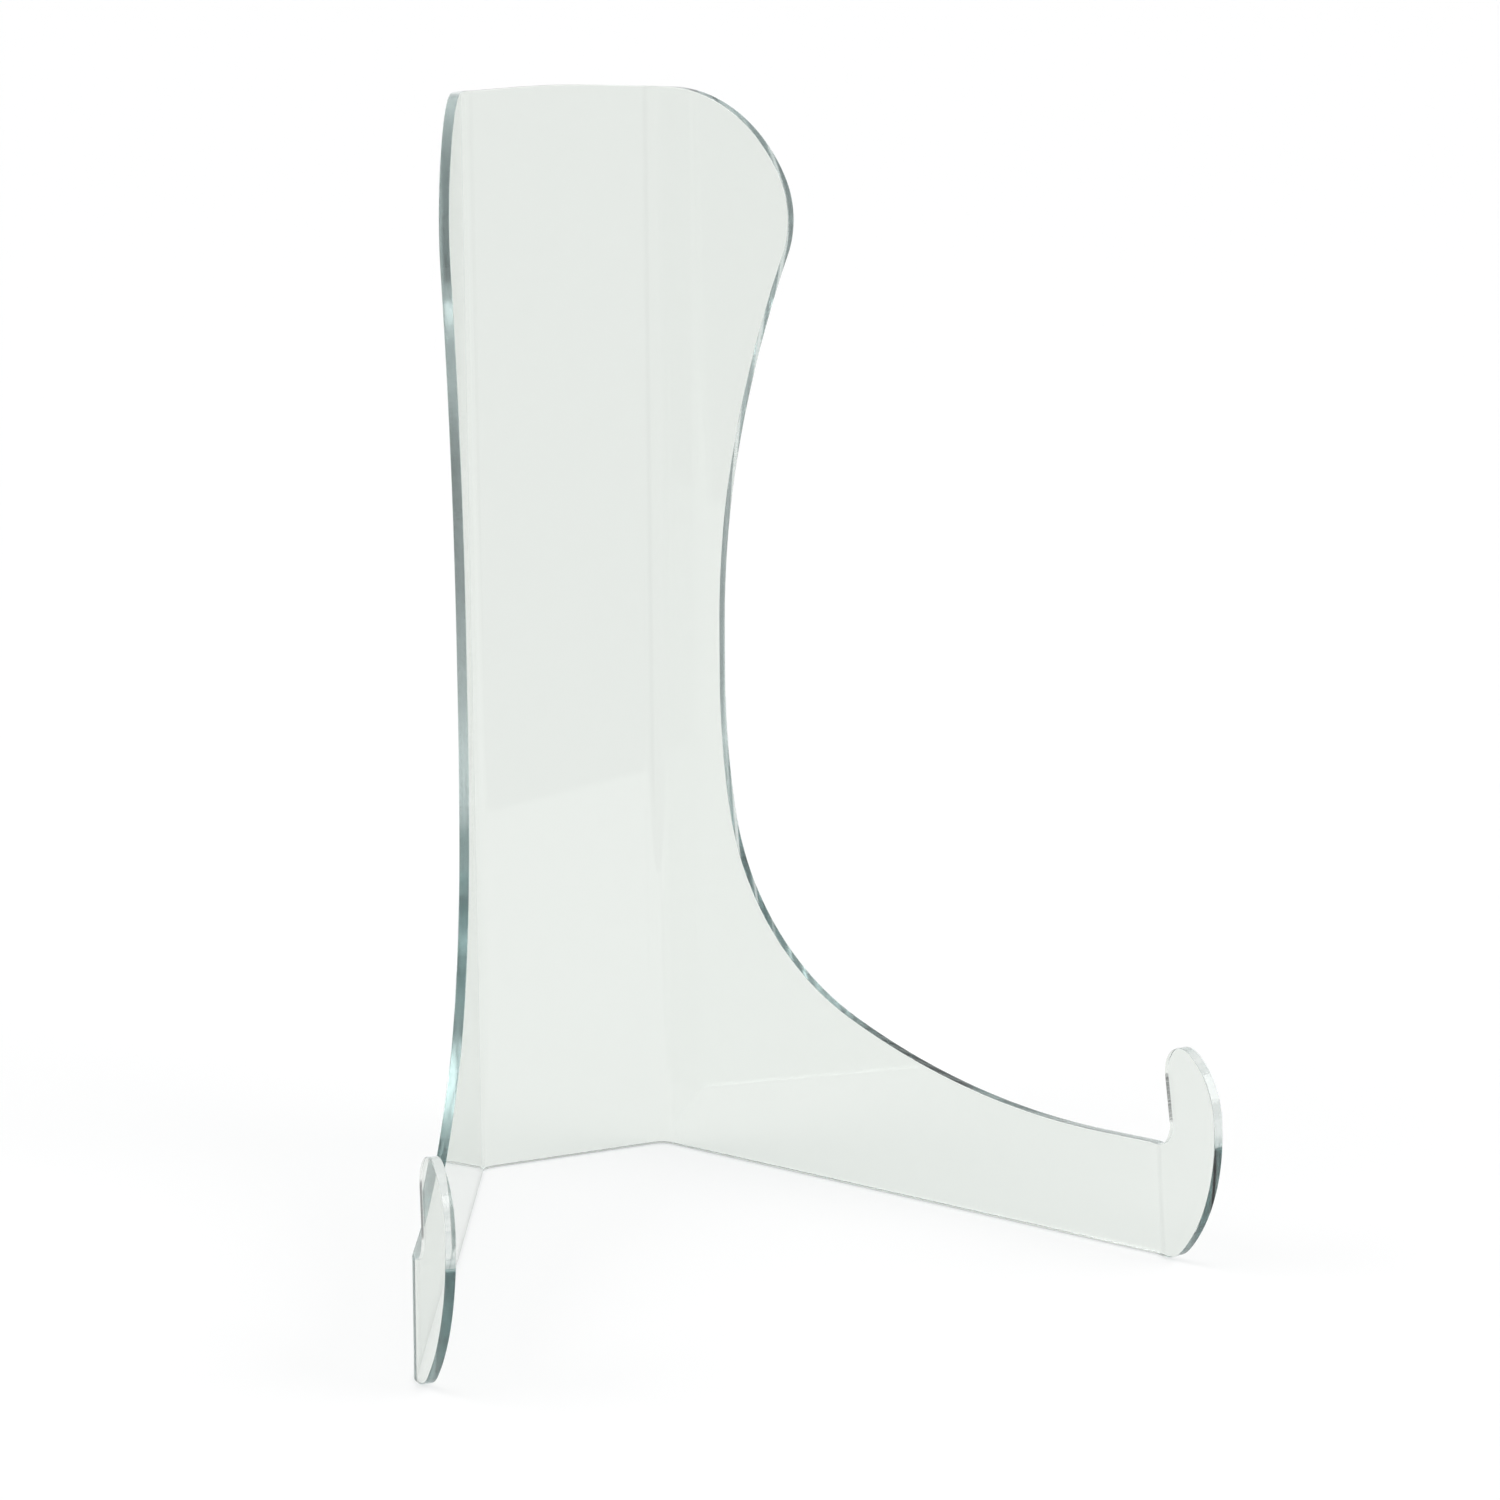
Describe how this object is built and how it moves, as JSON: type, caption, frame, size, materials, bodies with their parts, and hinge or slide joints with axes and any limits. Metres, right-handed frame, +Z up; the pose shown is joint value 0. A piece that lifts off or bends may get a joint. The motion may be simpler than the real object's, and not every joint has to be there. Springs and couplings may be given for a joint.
{
  "type": "plate display stand",
  "caption": "Clear bent-sheet plate stand: a narrow back panel between splayed wings, with low legs that end in notched hooks for the rim.",
  "frame": {"origin": "centre of the footprint's bounding box, on the surface it stands on", "axes": "+Z up, the displayed plate faces -Y, and the stand mirrors about X = 0"},
  "size_m": [0.2428, 0.1997, 0.3412],
  "materials": {
    "clear_acrylic": "clear cast acrylic sheet with glossy faces and glossy pale green cut edges"
  },
  "bodies": {
    "root": {"back_panel": "clear_acrylic", "left_back_bend": "clear_acrylic", "left_wing": "clear_acrylic", "left_hook_bend": "clear_acrylic", "left_hook": "clear_acrylic", "right_back_bend": "clear_acrylic", "right_wing": "clear_acrylic", "right_hook_bend": "clear_acrylic", "right_hook": "clear_acrylic"}
  },
  "joints": []
}
